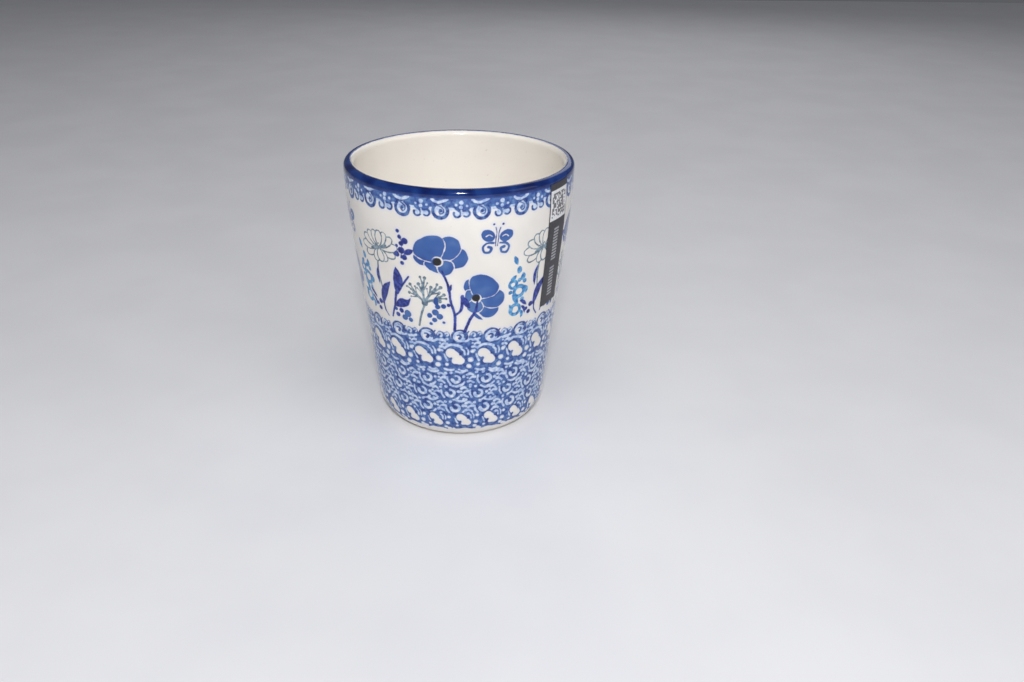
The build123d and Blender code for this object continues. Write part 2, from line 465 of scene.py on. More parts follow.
def low_borders(canvas, dice):
    """Rising scrolls, beans, curl ground and the second row of beans, down to the white foot."""
    pitch = 360 / LOW_STAMPS
    edge = fringe(canvas)
    canvas.belt("wash", edge + 0.3, LOW_SCROLL_HEIGHT - 0.4)
    canvas.belt("ground", edge, LOW_SCROLL_HEIGHT - 0.7)
    canvas.belt("line", edge - 0.1, edge + 0.8)
    for pen in stamped(canvas, LOW_STAMPS, LOW_SCROLL_HEIGHT, -1, dice):
        rising_scroll(pen)
        beside = pen._replace(azimuth=pen.azimuth + pitch / 2, height=pen.height + 0.4)
        paired_hooks(beside)
        commas(beside._replace(height=pen.height - 3.6, size=0.85))
    for pen in stamped(canvas, LOW_STAMPS, BEAN_HEIGHT, -3, dice):
        pen.pale([(-3.6, 4.6), (-1.9, 5.5), (0.3, 5.3), (2.2, 4.4)], 1.15)
        bean(pen)
        pen.pale([(-4.6, -5.3), (-2.9, -5.9), (-1.2, -5.7)], 1)
        pen.pale([(0.9, -5.6), (2.2, -6.3), (3.8, -6.2)], 0.95)
    for height, first in CURL_ROWS:
        for pen in stamped(canvas, LOW_STAMPS, height, first, dice, wander=0.18, size=0.96):
            curl(pen, dice)
    for pen in stamped(canvas, LOW_STAMPS, FOOT_BEAN_HEIGHT, 1.5, dice, size=0.84):
        bean(pen)
        below = (BLUE_BOTTOM - pen.height) / pen.size
        pen.dots(None, (6.2, below + 0.2, 1.1), (-5.4, below, 0.8), cleared=BLUE_AND_WASH)


# ---- Painted meadow: plain folk flowers that repeat four times round the mug ----

MEADOW_REPEATS = 4


def petal_outline(reach, width, start=0.5):
    """Rounded petal that grows upwards from the flower's middle."""
    half = width / 2
    left = [(-0.2 * half, start), (-0.78 * half, 0.34 * reach), (-half, 0.66 * reach)]
    tip = [(-0.62 * half, 0.93 * reach), (-0.1 * half, reach), (0.45 * half, 0.97 * reach)]
    right = [(0.95 * half, 0.76 * reach), (0.9 * half, 0.4 * reach), (0.2 * half, start)]
    return left + tip + right


def poppy(pen):
    """Poppy with six broad petals parted by thin white gaps, and a dark eye."""
    petals = ((72, 9.2, 7), (-78, 11.6, 8.4), (-40, 12, 8.4), (152, 4.4, 8), (-128, 6.6, 6.4),
              (26, 10.6, 13))
    for angle, reach, width in petals:
        petal = pen._replace(turn=pen.turn + angle)
        outline = petal_outline(reach, width)
        petal.area(None, outline, cleared=("petal",), grow=0.34)
        petal.area("petal", outline)
    pen.dots(None, (0.2, 0.1, 2.1), cleared=("petal",))
    pen.dots("petal", (-0.5, 0.1, 1.6))
    pen.dots("black", (0, 0, 1.62))


def daisy(pen):
    """Daisy seen from the side, drawn in thin grey line."""
    petals = ((112, 8.6), (-112, 8.2), (152, 6.2), (-150, 6), (-176, 5.6), (86, 9.6), (-86, 9.4),
              (62, 8.8), (-62, 8.6), (38, 7.6), (-38, 7.6), (13, 6.8), (-14, 6.9))
    for angle, reach in petals:
        petal = pen._replace(turn=pen.turn + angle)
        outline = petal_outline(reach, 3.5)
        petal.area(None, outline, cleared=("grey",))
        rim = smooth(outline, closed=True)
        petal.trail("grey", np.concatenate([rim, rim[:2]]), 0.54)
    pen.stroke("grey", [(-4.2, -0.7), (-1.6, 0.2), (1, 0.1), (4, 1.1)], 1.3, (0.8, 0.7))
    pen.dots("grey", (-1.6, 1.4, 0.35), (0.2, 1.6, 0.35), (1.9, 1.9, 0.35), (-3, 0.9, 0.3))


def daisy_stalk(pen):
    """Thin grey stalk that hangs from its place."""
    pen.stroke("grey", [(0.4, 0), (-0.6, -7), (0.2, -14)], 0.85, (1, 0.8))


def umbel(pen):
    """Flat head of fine grey rays on one stalk."""
    pen.stroke("grey", [(-2.6, -10.5), (-1.6, -6), (0, -1.2)], 0.8, (0.9, 1.2))
    pen.dots("grey", (0.1, -0.6, 1.2))
    fans = ((64, 6.6), (40, 8.4), (16, 7.4), (-3, 10), (-23, 7), (-44, 9.2), (-64, 8.4), (-82, 6))
    for k, (angle, reach) in enumerate(fans):
        ray = pen._replace(turn=pen.turn + angle, mirror=1.0 - 2.0 * (k % 2))
        ray.stroke("grey", [(0, -0.6), (0.5, reach * 0.5), (0, reach)], 0.85, (1.2, 0.7))
        ray.trail("grey", [(0.3, reach * 0.6), (1.7, reach)], 0.55)
        ray.trail("grey", [(0.4, reach * 0.45), (-1.1, reach * 0.8)], 0.45)
        ray.dots("grey", (0, reach, 0.68), (1.7, reach, 0.5), (-1.1, reach * 0.8, 0.42))


def butterfly(pen):
    """Small butterfly with rounded upper wings and curled lower ones."""
    upper = [(0.9, 0.2), (1.3, 2.1), (3.2, 3.3), (5.5, 2.9), (5.9, 0.9), (4.4, -0.9), (2.2, -1.2)]
    lower = [(1.2, -1.7), (3.5, -1.8), (4.9, -3.3), (4.1, -5.3), (2.3, -5.2), (1.8, -3.7), (3, -3.2)]
    for side in (-1, 1):
        wing = pen._replace(mirror=pen.mirror * side)
        wing.area("petal", upper)
        wing.stroke(None, [(1.9, 0.8), (3.1, 1.4), (4.2, 0.8)], 0.35, cleared=("petal",))
        wing.stroke("petal", lower, 1.15, (0.7, 0.9))
        wing.stroke("leaf", [(0.35, -2.8), (0.5, 0), (0.4, 2.2), (0.9, 4.2)], 0.45)
        wing.dots("leaf", (1.7, 5.4, 0.42))


def bell_spike(pen):
    """Turquoise spike: leaflets above, ringed bells below, and two dark leaves at its side."""
    pen.leaves(
        "turquoise",
        (1.9, (-2.2, 14.6), (-1.3, 12.6), (-0.6, 10.8)),
        (2.2, (0.1, 9.9), (0.4, 8.5), (0.2, 7)),
        (2.1, (2.1, 6.9), (2.3, 5.5), (1.4, 4)),
        (1.8, (-1, 6.4), (-1.9, 5.4), (-3.1, 5)),
        (2.1, (-2.3, -1.4), (-0.6, -3.8), (0.5, -6.2)),
        (1.5, (3, 1.4), (4.2, -0.2), (4, -2.2)),
        (1.6, (-3.4, -5.4), (-2.2, -7.4), (-2.6, -9.8)),
        (1.5, (1.8, -9), (2.8, -10.6), (2.4, -12.4)),
    )
    for x, y, radius, width in ((-2.1, 2.8, 1.5, 1.3), (0.8, -0.6, 2.2, 1.5), (-0.5, -8.2, 2.1, 1.4)):
        pen.trail("turquoise", round_arc((x, y), radius, 30, 360), width)
    pen.dots("turquoise", (3, 3.4, 0.9), (-3, -0.4, 0.8), (2.4, -4.2, 0.9), (0.6, 4.2, 0.8))
    pen.leaves(
        "leaf",
        (1.5, (1.3, -4.6), (3, -5.6), (5, -7.6)),
        (1.3, (2, -7), (3.8, -8.8), (4.2, -11)),
    )


def leafy_stems(pen):
    """Dark leaves, a twig and a bud under the daisy."""
    pen.leaves(
        "leaf",
        (4.4, (0.4, 11.8), (0.9, 6.4), (-0.2, 1)),
        (3.4, (-3.2, 4.8), (-6.4, 0.4), (-8.2, -5.8)),
        (1.6, (-8.6, 10.4), (-9.4, 6.4), (-8.8, 2.4)),
    )
    pen.stroke("leaf", [(-0.1, 3), (-1.4, -3), (-3.4, -9.6)], 1.05, (1.1, 0.7))
    pen.stroke("leaf", [(0.2, 1), (3, 5.4), (5.8, 9.2)], 0.8)
    pen.stroke("leaf", [(-7.6, -3), (-7.4, -7.4), (-5.6, -10.2)], 0.75, (1.2, 0.7))
    bud = [(-1.6, -4.6), (0.8, -0.9), (4.4, -0.6), (5.8, 0.4), (4.4, -3.2), (1.4, -4.6)]
    pen.area("leaf", bud)
    pen.dots("leaf", (1.2, -6, 1.05), (-0.6, -8, 1), (-9.6, -5.2, 1.1), (-10.2, -8.2, 0.95),
                                (-11.6, -6.6, 0.8), (0.2, 3.4, 0.5))
    pen.dots("petal", (3.9, -6.6, 1.5), (2.5, -8.6, 1.2), (5, -9, 0.9), (-1.4, -5.8, 0.8))


def poppy_stems(pen):
    """Stalks of the two poppies, joined near the ground."""
    stalks = (([(-4, 24.2), (-2, 18.6), (-1.3, 12), (-0.1, 6.4), (-0.4, 0)], (0.75, 1.05)),
              ([(-1.8, 16.6), (-1.2, 17.4), (-0.9, 18.8)], (1, 0.4)),
              ([(-0.1, 6.4), (2.2, 8.8), (2.9, 14.2)], (0.9, 1.2)),
              ([(8.3, 12.6), (7.4, 8), (5.2, 4.4), (3.2, -0.4)], (0.8, 1.1)))
    for points, ends in stalks:
        pen.stroke("leaf", points, 1.1, ends)
    pen.leaves("leaf", (2.2, (2.7, 14.6), (4, 11.6), (5.4, 9.2)))
    pen.leaves("petal", (1.3, (6.2, 8), (8, 5.6), (9.8, 4)))
    pen.dots("leaf", (-2.2, 10.6, 0.7))


def berry_sprig(pen):
    """Upright sprig of dark berries."""
    pen.stroke("leaf", [(-0.3, 5.6), (0.4, 2), (-0.2, -3.4)], 0.5)
    pen.leaves("leaf", (2.2, (1.2, -1.6), (2.9, -0.6), (4.8, 0.4)))
    pen.dots("leaf", (-1, 6.9, 0.8), (-0.3, 4.7, 0.85), (1.7, 3.5, 1.25), (0.2, 2.2, 1),
                                (0, -0.4, 1.4), (-2, -2.2, 1.15), (1.1, -3, 1.05), (0, -5.4, 0.8),
                                (-1.8, 1, 0.7))


def small_blossoms(pen):
    """Loose cluster of round petals near the ground."""
    pen.dots("petal", (-2, -0.6, 1), (0.1, 0.9, 1.3), (1.7, -0.7, 1.2), (-0.2, -2.3, 1),
                                 (-1.6, -4, 0.7), (1, 3.4, 1), (3.3, 3.8, 0.95), (3.2, -3, 0.6))


def lone_leaflet(pen):
    """Short blue leaflet above the cluster."""
    pen.leaves("petal", (1.9, (0.4, 2.4), (0, 0.6), (0.6, -1.4)))


# Motifs of one repeat in the order of painting: azimuth, height, turn and size
MEADOW = (
    (daisy_stalk, -46.0, 78.0, 0, 1.0),
    (daisy, -44.2, 80.5, 5, 1.0),
    (umbel, -19.3, 62.3, 0, 1.0),
    (leafy_stems, -35.2, 62.6, 0, 1.0),
    (poppy_stems, -3.3, 50.8, 0, 1.0),
    (berry_sprig, -30.0, 81.6, 0, 1.0),
    (poppy, -11.3, 78.5, 0, 1.0),
    (poppy, 8.0, 64.3, -58, 0.9),
    (butterfly, 17.4, 87.6, -5, 1.0),
    (bell_spike, 30.2, 66.0, 0, 1.0),
    (small_blossoms, -14.2, 57.4, 0, 1.0),
    (lone_leaflet, -12.8, 62.5, 0, 1.0),
)


def meadow(canvas, dice):
    """All the painted flowers, once for each repeat, a little astray as a hand sets them."""
    for repeat in range(MEADOW_REPEATS):
        start = 360 / MEADOW_REPEATS * repeat
        for motif, azimuth, height, turn, size in MEADOW:
            azimuth = start + azimuth + dice.normal(0, AZIMUTH_SPREAD)
            height = height + dice.normal(0, 0.3)
            turn = turn + dice.normal(0, 1.6)
            motif(Pen(canvas, azimuth, height, turn, size * dice.normal(1, 0.015)))


def draw_decoration(profile):
    """The whole decoration, on a canvas whose rows follow the profile."""
    dice = np.random.default_rng(7)
    canvas = Canvas(profile, COLUMNS)
    low_borders(canvas, dice)
    top_border(canvas, dice)
    meadow(canvas, dice)
    lengths = path_lengths(profile)
    crossing = np.argmax(profile[:, 1] >= BAND_BOTTOM)
    crest = np.argmax(profile[:, 1])
    inner_edge = crest + np.argmax(profile[crest:, 0] <= BAND_INNER_RADIUS)
    band = np.minimum(lengths - lengths[crossing], lengths[inner_edge] - lengths)
    canvas.layers["band"][:] = np.clip(band, -FAR, FAR)[:, None]
    return canvas


# ---- Meshes ----

SKIN = 0.26              # depth of the glaze skins, just clear of the clay
OVAL = 0.11              # the wall's unevenness: how far it is oval, lobed and ringed by the fingers
LOBES = 0.05
FINGER_RINGS = 0.018


def uneven(azimuths, radii, heights):
    """Slight unevenness of the hand-finished wall, in millimetres outwards; none on the axis."""
    wave = OVAL * np.sin(2 * azimuths + 1.1) + LOBES * np.sin(3 * azimuths + heights / 17)
    wave = wave + FINGER_RINGS * np.sin(0.75 * heights + np.sin(3 * azimuths))
    return wave * np.clip(radii / BASE_RADIUS, 0, 1) ** 2


def around(azimuths, radii, heights):
    """Points in metres at azimuths in radians, and radii and heights in millimetres."""
    radii = radii + uneven(azimuths, radii, heights)
    return np.stack([radii * np.sin(azimuths), -radii * np.cos(azimuths), heights + 0 * radii], -1) * MM


def inset(profile, depth):
    """Profile moved below its surface, by one depth or by one for each point."""
    along = np.gradient(profile, axis=0)
    along = along / np.maximum(np.hypot(*along.T)[:, None], 1e-9)
    outward = np.stack([along[:, 1], -along[:, 0]], 1)
    return profile - outward * np.broadcast_to(depth, len(profile))[:, None]


class Rings:
    """Mesh made of rings of points about the mug's axis, joined by faces."""

    def __init__(self):
        self.points = []
        self.faces = []
        self.total = 0

    def ring(self, radius, height, columns):
        """Add one ring, or a single point on the axis, and give its indices."""
        count = 1 if radius < 1e-6 else columns
        azimuths = np.arange(count) * 2 * math.pi / count
        self.points.append(around(azimuths, np.full(count, radius), np.full(count, height)))
        indices = np.arange(self.total, self.total + count)
        self.total += count
        return indices

    def join(self, low, high):
        """Faces between two rings, of which one may be coarser or a single point."""
        pieces = min(len(low), len(high))
        if pieces == 1:
            loop = low if len(high) == 1 else high
            tip = int(high[0] if len(high) == 1 else low[0])
            for a, b in zip(loop.tolist(), np.roll(loop, -1).tolist()):
                self.faces.append((a, b, tip) if len(high) == 1 else (b, a, tip))
            return
        runs = []
        for loop in (low, high):
            share = len(loop) // pieces
            steps = np.arange(pieces)[:, None] * share + np.arange(share + 1)[None, :]
            runs.append(loop[steps % len(loop)])
        self.faces.extend(np.concatenate([runs[0], runs[1][:, ::-1]], 1).tolist())

    def surface(self, profile, columns):
        """Rings along a profile, joined one to the next; gives the first and last ring."""
        rings = [self.ring(radius, height, columns) for radius, height in profile]
        for low, high in zip(rings, rings[1:]):
            self.join(low, high)
        return rings[0], rings[-1]


def new_object(name, points, faces, material, sharp=35.0):
    """Mesh object with smooth shading, kept sharp at its edges."""
    mesh = bpy.data.meshes.new(name)
    mesh.from_pydata(points.tolist(), [], faces)
    mesh.update()
    mesh.shade_smooth()
    mesh.set_sharp_from_angle(angle=math.radians(sharp))
    mesh.materials.append(material)
    piece = bpy.data.objects.new(name, mesh)
    bpy.context.scene.collection.objects.link(piece)
    return piece


def write_layer(piece, name, values):
    """Store one number for each point of a piece, for its material."""
    attribute = piece.data.attributes.new(name, "FLOAT", "POINT")
    attribute.data.foreach_set("value", np.asarray(values, np.float32))


def turned_skin(name, front, back, material, columns):
    """Closed turned skin. The fine front runs one way, and the coarse hidden back returns."""
    rings = Rings()
    first, last = rings.surface(front, columns)
    back_first, back_last = rings.surface(back, columns // COARSE)
    if not (len(last) == 1 and len(back_first) == 1):
        rings.join(last, back_first)
    if not (len(first) == 1 and len(back_last) == 1):
        rings.join(back_last, first)
    return new_object(name, np.concatenate(rings.points), rings.faces, material)


# ---- Decorated glaze: one skin for each belt of the decoration ----

RIM_REACH = 128.0        # how far round the lip the rim's glaze runs, in degrees
BELT_TOPS = {
    "glaze_foot_curls": 26.0,
    "glaze_upper_curls": 51.5,
    "glaze_meadow_stems": 72.5,
    "glaze_meadow_blooms": 94.0,
    "glaze_top_border": 102.2,
}
EDGE_LENGTH = 0.8        # along the lowest belt, where its edge thins
EDGE_THINNING = 0.8      # and by how much of the skin


def glaze_profile():
    """Profile of the decorated glaze, from its rounded lower edge to just inside the lip."""
    outside = outside_profile()
    outside = outside[outside[:, 1] >= GLAZE_LINE]
    lip = arc((RIM_RADIUS - LIP_RADIUS, LIP_HEIGHT), LIP_RADIUS, 0, RIM_REACH)
    return resample(np.concatenate([outside, lip[1:]]), ROW_STEP)


def belt_piece(name, profile, canvas, first, last, material):
    """Closed skin over some rows of the canvas, which carries their pigments."""
    front = profile[first:last + 1]
    lengths = path_lengths(front)
    if first == 0:
        edge = np.clip(1 - lengths / EDGE_LENGTH, 0, 1) ** 2
        front = inset(front, EDGE_THINNING * SKIN * edge)
    keep = np.unique(np.append(np.arange(0, len(front), COARSE), len(front) - 1))
    back = inset(profile[first:last + 1], SKIN)[keep][::-1]
    piece = turned_skin(name, front, back, material, COLUMNS)
    hidden = len(piece.data.vertices) - len(front) * COLUMNS
    for layer, distances in canvas.layers.items():
        shown = distances[first:last + 1].ravel()
        write_layer(piece, layer, np.concatenate([shown, np.full(hidden, -FAR)]))
    return piece


def decorated_pieces(material, rim_material):
    """The belts of the outer glaze and the cobalt rim."""
    profile = glaze_profile()
    canvas = draw_decoration(profile)
    pieces = []
    rows = [0] + [int(np.argmax(profile[:, 1] >= top)) for top in BELT_TOPS.values()]
    for name, first, last in zip(BELT_TOPS, rows, rows[1:]):
        pieces.append(belt_piece(name, profile, canvas, first, last, material))
    rim = belt_piece("glaze_cobalt_rim", profile, canvas, rows[-1], len(profile) - 1, rim_material)
    return pieces, rim


# ---- Liner, base and clay ----

PLAIN_COLUMNS = 360
CLAY_COLUMNS = 180
LINER_STEP = 0.7
BASE_STEP = 0.5
CLAY_STEP = 0.8


def liner_piece(material):
    """Ivory glaze inside the mug, from the rim's glaze down to the middle of the floor."""
    lip = arc((RIM_RADIUS - LIP_RADIUS, LIP_HEIGHT), LIP_RADIUS, RIM_REACH, 180 - RIM_REACH)
    inside = resample(np.concatenate([lip, inside_profile()[1:]]), LINER_STEP)
    inside[-1, 0] = 0.0
    back = inset(inside, SKIN)[::-1]
    back[0] = (0.0, FLOOR_TOP - SKIN)
    return turned_skin("glaze_ivory_liner", inside, back, material, PLAIN_COLUMNS)


def base_piece(material):
    """Ivory glaze in the recess under the floor."""
    front = np.concatenate([recess_profile(), [(FOOT_INNER_RADIUS, GLAZE_LINE)]])
    front = resample(front, BASE_STEP)
    back = inset(front, SKIN)[::-1]
    back[-1] = (0.0, RECESS_DEPTH + SKIN)
    return turned_skin("glaze_base", front, back, material, PLAIN_COLUMNS)


def clay_profile():
    """Closed outline of the fired clay: full size on the bare foot ring, under the glaze elsewhere."""
    worn = 0.35
    bare = outside_profile()
    bare = bare[bare[:, 1] < GLAZE_LINE]
    outside = outside_profile(GLAZE)
    outside = outside[outside[:, 1] >= GLAZE_LINE]
    foot = [
        (FOOT_INNER_RADIUS + GLAZE, GLAZE_LINE),
        (FOOT_INNER_RADIUS, GLAZE_LINE),
        (FOOT_INNER_RADIUS, worn),
        (FOOT_INNER_RADIUS + worn * 0.3, worn * 0.3),
        (FOOT_INNER_RADIUS + worn, 0.0),
    ]
    body = np.concatenate([outside, lip_profile(GLAZE)[1:], inside_profile(GLAZE)[1:]])
    body = resample(body, CLAY_STEP)
    body[-1] = (0.0, FLOOR_TOP - GLAZE)
    recess = resample(recess_profile(GLAZE), CLAY_STEP)
    recess[0] = (0.0, RECESS_DEPTH + GLAZE)
    return np.concatenate([bare, body]), np.concatenate([recess, foot])


def clay_piece(material):
    """Fired clay body."""
    upper, lower = clay_profile()
    rings = Rings()
    first, _ = rings.surface(upper, CLAY_COLUMNS)
    _, last = rings.surface(lower, CLAY_COLUMNS)
    rings.join(last, first)
    return new_object("clay_body", np.concatenate(rings.points), rings.faces, material)


# ---- Sales label ----

LABEL_WIDTH = 11.7
LABEL_AZIMUTH = 56.0
LABEL_TILT = math.radians(-2.5)
LABEL_TOP = 103.8
LABEL_BOTTOM = 54.5
LABEL_LENGTH = LABEL_TOP - LABEL_BOTTOM
LABEL_FACE = 0.14
LABEL_CELL = 0.5
ADHESIVE = 0.1
ADHESIVE_UNDER = 0.02    # its hidden side, just clear of the glaze
ADHESIVE_MARGIN = 0.25
PUCKER = (0.02, 0.015)   # slow waves of the label's face


def label_slab(name, under, over, margin, material):
    """Closed strip that follows the wall between two heights above the glaze."""
    across = np.linspace(margin, LABEL_WIDTH - margin, int(LABEL_WIDTH / LABEL_CELL))
    down = np.linspace(margin, LABEL_LENGTH - margin, int(LABEL_LENGTH / LABEL_CELL))
    u, v = np.meshgrid(across, down)
    local_x = u - LABEL_WIDTH / 2
    local_z = LABEL_LENGTH / 2 - v
    x = local_x * math.cos(LABEL_TILT) + local_z * math.sin(LABEL_TILT)
    z = (LABEL_TOP + LABEL_BOTTOM) / 2 - local_x * math.sin(LABEL_TILT) + local_z * math.cos(LABEL_TILT)
    wall = outside_profile()
    radii = np.interp(z, wall[:, 1], wall[:, 0])
    azimuths = math.radians(LABEL_AZIMUTH) + x / radii
    pucker = PUCKER[0] * np.sin(v / 2.3 + u / 4) + PUCKER[1] * np.sin(v / 5.1 - u / 3)
    front = around(azimuths, radii + over + np.maximum(pucker, -PUCKER[0]), z).reshape(-1, 3)
    back = around(azimuths, radii + under, z).reshape(-1, 3)
    rows, columns = u.shape
    grid = np.arange(rows * columns).reshape(rows, columns)
    cells = np.stack([grid[1:, :-1], grid[1:, 1:], grid[:-1, 1:], grid[:-1, :-1]], -1).reshape(-1, 4)
    hidden = rows * columns
    edge = np.concatenate([grid[0, :-1], grid[:-1, -1], grid[-1, :0:-1], grid[:0:-1, 0]])
    sides = np.stack([edge, np.roll(edge, -1), np.roll(edge, -1) + hidden, edge + hidden], 1)
    faces = cells.tolist() + (cells[:, ::-1] + hidden).tolist() + sides.tolist()
    piece = new_object(name, np.concatenate([front, back]), faces, material)
    write_layer(piece, "across", np.tile(u.ravel(), 2))
    write_layer(piece, "down", np.tile(v.ravel(), 2))
    return piece


# ---- Materials ----

COLOUR_MIX_INPUTS = (0, 6, 7)      # the mix node's share and its two colours


def shade(red, green, blue):
    """Colour as it looks, out of 255, in the linear values that a shader takes."""
    channels = []
    for value in (red, green, blue):
        value = value / 255
        channels.append(value / 12.92 if value <= 0.04045 else ((value + 0.055) / 1.055) ** 2.4)
    return (*channels, 1.0)


class Nodes:
    """Short calls that build one material's node tree."""

    def __init__(self, name):
        self.material = bpy.data.materials.new(name)
        self.material.use_nodes = True
        self.tree = self.material.node_tree
        self.tree.nodes.clear()
        self.place = self.new("TexCoord").outputs["Object"]
        self.shader = self.new("BsdfPrincipled")
        output = self.new("OutputMaterial")
        self.tree.links.new(self.shader.outputs["BSDF"], output.inputs["Surface"])

    def new(self, kind):
        """New shader node of a kind."""
        return self.tree.nodes.new("ShaderNode" + kind)

    def put(self, socket, value):
        """Link a socket, or set its constant."""
        if isinstance(value, bpy.types.NodeSocket):
            self.tree.links.new(value, socket)
        else:
            socket.default_value = value

    def finish(self, colour, source, smoothest, spread, height):
        """Material of a colour and a relief in millimetres, rougher where a source is high."""
        self.put(self.shader.inputs["Base Color"], colour)
        self.put(self.shader.inputs["Roughness"], self.math("MULTIPLY_ADD", source, spread, smoothest))
        bump = self.new("Bump")
        bump.inputs["Strength"].default_value = 1.0
        bump.inputs["Distance"].default_value = MM
        self.put(bump.inputs["Height"], height)
        self.put(self.shader.inputs["Normal"], bump.outputs[0])
        return self.material

    def math(self, operation, *values):
        """One arithmetic step."""
        node = self.new("Math")
        node.operation = operation
        for socket, value in zip(node.inputs, values):
            self.put(socket, value)
        return node.outputs[0]

    def times(self, *values):
        """Product of two values."""
        return self.math("MULTIPLY", *values)

    def layer(self, name):
        """Number stored on the mesh."""
        node = self.new("Attribute")
        node.attribute_name = name
        return node.outputs["Fac"]

    def noise(self, feature, seed, detail=1.0, stretch=None):
        """Soft noise about 0.5, whose features have a size in millimetres."""
        node = self.new("TexNoise")
        node.noise_dimensions = "4D"
        place = self.place
        if stretch:
            mapping = self.new("Mapping")
            self.put(mapping.inputs["Vector"], place)
            mapping.inputs["Scale"].default_value = stretch
            place = mapping.outputs[0]
        self.put(node.inputs["Vector"], place)
        node.inputs["W"].default_value = float(seed)
        node.inputs["Scale"].default_value = 1 / (feature * MM)
        node.inputs["Detail"].default_value = detail
        return node.outputs[0]

    def step(self, value, low, high):
        """Smooth rise from 0 at the low value to 1 at the high one."""
        node = self.new("MapRange")
        node.interpolation_type = "SMOOTHSTEP"
        self.put(node.inputs["Value"], value)
        node.inputs["From Min"].default_value = low
        node.inputs["From Max"].default_value = high
        return node.outputs[0]

    def mix(self, share, first, second):
        """Colour between two, each a socket or red, green and blue out of 255."""
        node = self.new("Mix")
        node.data_type = "RGBA"
        for index, value in zip(COLOUR_MIX_INPUTS, (share, first, second)):
            self.put(node.inputs[index], shade(*value) if isinstance(value, tuple) else value)
        return node.outputs[2]

    def cloudy(self, source, low, high, first, second):
        """From one shade to another as a source rises from low to high."""
        return self.mix(self.step(source, low, high), first, second)

    def tinted(self, colour, source, low, high, amount, tint):
        """Colour covered in part by a tint as a source goes from low to high."""
        return self.mix(self.times(self.step(source, low, high), amount), colour, tint)


def glaze_skin(nodes, feature=3.2, height=0.012):
    """Faint orange peel of a fired glaze, as a height in millimetres."""
    slow = nodes.times(nodes.noise(feature, 21, 2.0), height * 2)
    fine = nodes.times(nodes.noise(feature / 5, 22, 1.0), height * 0.35)
    return nodes.math("ADD", slow, fine)


def white_glaze(nodes):
    """Off-white field with slow clouds and a few tiny iron specks."""
    field = nodes.cloudy(nodes.noise(14.0, 11, 2.0), 0.35, 0.65, (228, 224, 218), (235, 231, 225))
    return nodes.tinted(field, nodes.noise(0.7, 12, 0.0), 0.82, 0.86, 0.3, (160, 152, 144))


# Each pigment's thin, full and thick paint
PAINTS = {
    "wash": ((206, 217, 234), (186, 202, 228), (150, 174, 216)),
    "ground": ((92, 128, 182), (62, 96, 160), (36, 64, 136)),
    "line": ((84, 118, 172), (54, 84, 148), (30, 52, 122)),
    "grey": ((142, 162, 176), (108, 130, 146), (78, 98, 116)),
    "turquoise": ((112, 172, 214), (70, 140, 194), (44, 108, 170)),
    "petal": ((74, 112, 170), (50, 90, 158), (36, 72, 144)),
    "leaf": ((54, 76, 158), (32, 50, 138), (18, 32, 108)),
    "band": ((26, 55, 118), (14, 39, 100), (8, 27, 82)),
}


def painted_glaze(name):
    """Glossy white glaze over brushed and stamped cobalt, turquoise, grey and black."""
    nodes = Nodes(name)
    hand = nodes.math("SUBTRACT", nodes.noise(2.4, 1, 1.0), 0.5)
    grain = nodes.math("SUBTRACT", nodes.noise(0.45, 2, 1.0), 0.5)
    wobble = nodes.math("MULTIPLY_ADD", hand, 0.45, nodes.times(grain, 0.22))
    blotch = nodes.noise(1.5, 3, 2.0)
    cloud = nodes.noise(7.0, 4, 1.0)

    def inside(name, soft=0.17):
        """How far a point is inside a pigment, from 0 to 1, with a hand-drawn edge."""
        return nodes.step(nodes.math("ADD", nodes.layer(name), wobble), -soft, soft)

    def paint(name, source=blotch, spread=0.13):
        """Patchy colour of a pigment, from thin paint to thick."""
        thin, full, thick = PAINTS[name]
        lower = nodes.cloudy(source, 0.5 - spread, 0.5, thin, full)
        return nodes.tinted(lower, source, 0.5, 0.5 + spread, 1.0, thick)

    reach = nodes.layer("ground")
    for layer in ("line", "petal", "leaf"):
        reach = nodes.math("MAXIMUM", reach, nodes.layer(layer))
    colour = nodes.tinted(white_glaze(nodes), reach, -1.3, 0.1, 0.34, (196, 208, 236))
    softness = {"wash": 0.3, "ground": 0.2, "line": 0.17, "grey": 0.14, "turquoise": 0.17}
    for layer, soft in softness.items():
        spread = 0.16 if layer == "ground" else 0.13
        colour = nodes.mix(inside(layer, soft), colour, paint(layer, spread=spread))
    petal = paint("petal", cloud, 0.2)
    petal = nodes.tinted(petal, nodes.layer("petal"), 0.55, 0.0, 0.35, (34, 66, 142))
    colour = nodes.mix(inside("petal"), colour, petal)
    colour = nodes.mix(inside("leaf"), colour, paint("leaf"))
    colour = nodes.mix(inside("black"), colour, (20, 20, 24))
    edge = nodes.math("MULTIPLY_ADD", hand, 1.6, nodes.layer("band"))
    band = nodes.tinted(paint("band", cloud), edge, 1.0, 0.0, 0.55, (48, 80, 160))
    colour = nodes.mix(inside("band", 0.18), colour, band)
    relief = nodes.times(nodes.step(reach, -0.1, 0.4), 0.012)
    return nodes.finish(colour, blotch, 0.07, 0.06, nodes.math("ADD", relief, glaze_skin(nodes)))


def ivory_glaze():
    """Warm white liner glaze with faint clouds, throwing rings and a few specks."""
    nodes = Nodes("ivory_glaze")
    cloud = nodes.step(nodes.noise(22.0, 41, 2.0), 0.3, 0.7)
    colour = nodes.mix(cloud, (243, 237, 229), (246, 241, 233))
    colour = nodes.tinted(colour, nodes.noise(0.9, 42, 0.0), 0.8, 0.84, 0.25, (156, 140, 122))
    rings = nodes.times(nodes.noise(3.4, 43, 1.0, stretch=(0.06, 0.06, 1.0)), 0.05)
    height = nodes.math("ADD", rings, glaze_skin(nodes, 4.0, 0.014))
    return nodes.finish(colour, cloud, 0.09, 0.05, height)


